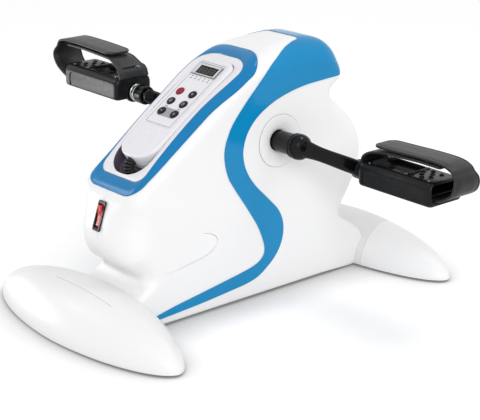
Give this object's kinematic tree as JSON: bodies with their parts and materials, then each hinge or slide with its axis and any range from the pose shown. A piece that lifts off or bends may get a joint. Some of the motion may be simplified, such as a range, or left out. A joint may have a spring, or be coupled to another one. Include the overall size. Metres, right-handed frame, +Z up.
{
  "type": "mini exercise bike",
  "caption": "Low motorised pedal exerciser: slim glossy body on two domed feet, sloping console with a lift-out handset, side cranks and strapped pedals.",
  "frame": {"origin": "on the floor under the middle of the bounding box", "axes": "+X towards the flank with the drive pulley behind it, -Y towards the console's low end and its user, +Z up"},
  "size_m": [0.5958, 0.537, 0.3102],
  "materials": {
    "white_shell": "glossy white",
    "blue_trim": "glossy blue",
    "black_plastic": "satin black",
    "black_rubber": "matt black",
    "bare_steel": "bare",
    "black_painted_steel": "satin black paint",
    "chrome": "polished",
    "red_plastic": "glossy red",
    "grey_frame": "satin grey",
    "dark_window": "clear dark window",
    "circuit_board": "green laminate"
  },
  "bodies": {
    "base": {"housing_left": "white_shell", "housing_right": "white_shell", "band_left": "blue_trim", "band_right": "blue_trim", "console_bezel": "blue_trim", "console_tray": "white_shell", "crank_cover_left": "white_shell", "crank_cover_right": "white_shell", "switch_frame": "black_plastic", "front_foot_cover": "white_shell", "rear_foot_saddle": "white_shell", "rear_foot_cap_left": "white_shell", "rear_foot_cap_right": "white_shell", "front_pad_left": "black_rubber", "front_pad_right": "black_rubber", "rear_pad_left": "black_rubber", "rear_pad_right": "black_rubber", "front_cross_tube": "black_painted_steel", "rear_cross_tube": "black_painted_steel", "base_beam": "black_painted_steel", "crank_post": "black_painted_steel", "bearing_left": "bare_steel", "bearing_right": "bare_steel", "motor_bracket": "bare_steel", "gear_motor": "bare_steel", "power_module": "black_plastic", "power_inlet": "black_plastic", "drive_belt": "black_rubber"},
    "crank": {"crank_axle": "bare_steel", "crank_arm_left": "black_painted_steel", "crank_arm_right": "black_painted_steel", "driven_pulley": "black_plastic", "pedal_spindle_left": "chrome", "pedal_spindle_right": "chrome"},
    "motor_rotor": {"motor_pulley": "bare_steel"},
    "pedal_left": {"pedal_left": "black_plastic", "strap_outer_left": "black_rubber", "strap_inner_left": "black_rubber"},
    "pedal_right": {"pedal_right": "black_plastic", "strap_outer_right": "black_rubber", "strap_inner_right": "black_rubber"},
    "handset": {"handset_back": "white_shell", "handset_top": "white_shell", "handset_label": "white_shell", "display_frame": "grey_frame", "display_window": "dark_window", "display_module": "black_plastic", "handset_board": "circuit_board", "handset_cord": "black_rubber"},
    "rocker": {"switch_rocker": "red_plastic"},
    "start_stop_button": {"start_stop_button": "red_plastic"},
    "mode_button": {"mode_button": "black_plastic"},
    "speed_up_button": {"speed_up_button": "black_plastic"},
    "speed_down_button": {"speed_down_button": "black_plastic"},
    "time_up_button": {"time_up_button": "black_plastic"},
    "time_down_button": {"time_down_button": "black_plastic"}
  },
  "joints": [
    {"name": "crank_spin", "type": "hinge", "parent": "base", "child": "crank", "pos_m": [0, 0.036, 0.1939], "axis": [1, 0, 0], "continuous": true},
    {"name": "motor_spin", "type": "hinge", "parent": "base", "child": "motor_rotor", "pos_m": [0, -0.062, 0.084], "axis": [1, 0, 0], "continuous": true},
    {"name": "left_pedal_spin", "type": "hinge", "parent": "crank", "child": "pedal_left", "pos_m": [0, -0.03183, 0.22684], "axis": [1, 0, 0], "continuous": true},
    {"name": "right_pedal_spin", "type": "hinge", "parent": "crank", "child": "pedal_right", "pos_m": [0, 0.10383, 0.16096], "axis": [1, 0, 0], "continuous": true},
    {"name": "handset_lift", "type": "slide", "parent": "base", "child": "handset", "axis": [0, -0.5618, 0.8273], "range_m": [0, 0.035]},
    {"name": "switch_rock", "type": "hinge", "parent": "base", "child": "rocker", "pos_m": [0, -0.19037, 0.13442], "axis": [1, 0, 0], "range_deg": [-18, 0]},
    {"name": "start_stop_press", "type": "slide", "parent": "handset", "child": "start_stop_button", "axis": [0, 0.5618, -0.8273], "range_m": [0, 0.0008], "stiffness_N_per_m": 400, "springref_m": -0.001},
    {"name": "mode_press", "type": "slide", "parent": "handset", "child": "mode_button", "axis": [0, 0.5618, -0.8273], "range_m": [0, 0.0008], "stiffness_N_per_m": 400, "springref_m": -0.001},
    {"name": "speed_up_press", "type": "slide", "parent": "handset", "child": "speed_up_button", "axis": [0, 0.5618, -0.8273], "range_m": [0, 0.0008], "stiffness_N_per_m": 400, "springref_m": -0.001},
    {"name": "speed_down_press", "type": "slide", "parent": "handset", "child": "speed_down_button", "axis": [0, 0.5618, -0.8273], "range_m": [0, 0.0008], "stiffness_N_per_m": 400, "springref_m": -0.001},
    {"name": "time_up_press", "type": "slide", "parent": "handset", "child": "time_up_button", "axis": [0, 0.5618, -0.8273], "range_m": [0, 0.0008], "stiffness_N_per_m": 400, "springref_m": -0.001},
    {"name": "time_down_press", "type": "slide", "parent": "handset", "child": "time_down_button", "axis": [0, 0.5618, -0.8273], "range_m": [0, 0.0008], "stiffness_N_per_m": 400, "springref_m": -0.001}
  ],
  "couplings": [
    {"joint": "motor_spin", "follows": "crank_spin", "ratio": 4.8333}
  ]
}
